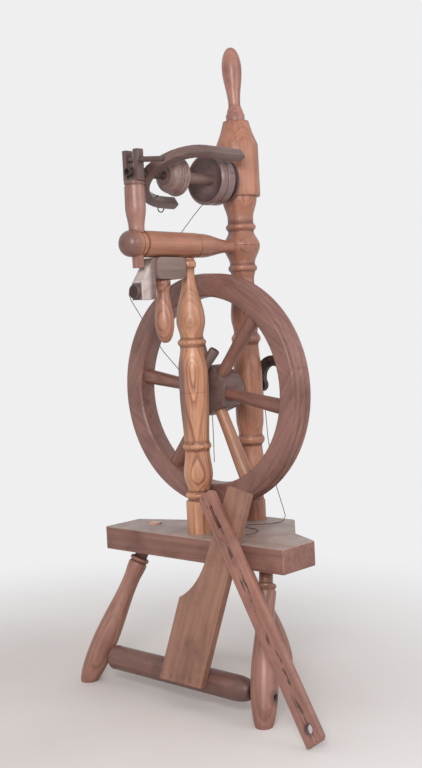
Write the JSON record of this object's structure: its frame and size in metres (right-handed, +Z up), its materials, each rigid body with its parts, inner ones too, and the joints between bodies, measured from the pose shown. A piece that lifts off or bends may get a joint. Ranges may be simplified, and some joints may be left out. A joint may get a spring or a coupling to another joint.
{
  "type": "upright spinning wheel",
  "caption": "Upright wooden spinning wheel with turned posts, a spoked wheel below the flyer, three splayed legs, a folded treadle and a loose footman.",
  "frame": {"origin": "floor level under the middle of the overall footprint", "axes": "+Z up from the floor; +Y from the front post towards the rear post, along the axle; +X to the right seen from the front post's side"},
  "size_m": [0.556, 0.357, 1.123],
  "materials": {
    "dark_wood": "satin",
    "ruddy_wood": "satin",
    "pale_wood": "satin",
    "dusky_wood": "satin",
    "iron": "matte",
    "hide": "matte",
    "yarn": "matte"
  },
  "bodies": {
    "stand": {"table": "dark_wood", "left_leg": "dark_wood", "right_leg": "dark_wood", "rear_leg": "dark_wood", "front_post": "pale_wood", "rear_post": "ruddy_wood", "post_handle": "ruddy_wood", "arm": "ruddy_wood", "front_maiden": "dark_wood", "front_bearing": "hide", "bearing_keeper": "dusky_wood", "rear_bearing": "hide", "tension_bracket": "dusky_wood", "front_axle_bush": "iron", "rear_axle_bush": "iron", "brake_cord": "yarn", "loose_yarn": "yarn"},
    "wheel": {"felloe_1": "dark_wood", "felloe_2": "dark_wood", "felloe_3": "dark_wood", "felloe_4": "dark_wood", "rim_dowels": "pale_wood", "spoke_1": "ruddy_wood", "spoke_2": "ruddy_wood", "spoke_3": "ruddy_wood", "spoke_4": "ruddy_wood", "spoke_5": "ruddy_wood", "spoke_6": "ruddy_wood", "hub": "dusky_wood", "axle": "iron", "crank": "iron"},
    "flyer": {"flyer_bow": "dusky_wood", "spindle": "iron", "flyer_hooks": "iron"},
    "bobbin": {"bobbin_barrel": "dusky_wood", "bobbin_bell": "dusky_wood", "bobbin_whorl": "dusky_wood"},
    "hand_screw": {"hand_screw": "pale_wood"},
    "tension_peg": {"tension_peg": "dusky_wood"},
    "treadle": {"treadle_bar": "dark_wood", "treadle_pins": "iron", "treadle_board": "ruddy_wood", "treadle_pegs": "dusky_wood"},
    "footman": {"footman": "ruddy_wood"}
  },
  "joints": [
    {"name": "wheel_spin", "type": "hinge", "parent": "stand", "child": "wheel", "pos_m": [-0.0525, 0.0165, 0.517], "axis": [0, 1, 0], "continuous": true},
    {"name": "flyer_spin", "type": "hinge", "parent": "stand", "child": "flyer", "pos_m": [-0.0525, 0.0165, 0.883], "axis": [0, 1, 0], "continuous": true},
    {"name": "bobbin_spin", "type": "hinge", "parent": "flyer", "child": "bobbin", "pos_m": [-0.0525, 0.0165, 0.883], "axis": [0, 1, 0], "continuous": true},
    {"name": "hand_screw_turn", "type": "hinge", "parent": "stand", "child": "hand_screw", "pos_m": [-0.0525, -0.0935, 0.66], "axis": [0, 0, 1], "range_deg": [-180, 180]},
    {"name": "tension_peg_turn", "type": "hinge", "parent": "stand", "child": "tension_peg", "pos_m": [-0.0525, -0.1535, 0.6905], "axis": [0, 1, 0], "range_deg": [-180, 180]},
    {"name": "treadle_swing", "type": "hinge", "parent": "stand", "child": "treadle", "pos_m": [-0.0525, -0.097, 0.044], "axis": [1, 0, 0], "range_deg": [0, 85]},
    {"name": "footman_tip", "type": "hinge", "parent": "stand", "child": "footman", "pos_m": [0.2475, -0.15033, 0.0019], "axis": [1, 0, 0], "range_deg": [0, 85]}
  ],
  "couplings": [
    {"joint": "footman_tip", "follows": "treadle_swing", "ratio": 1}
  ]
}
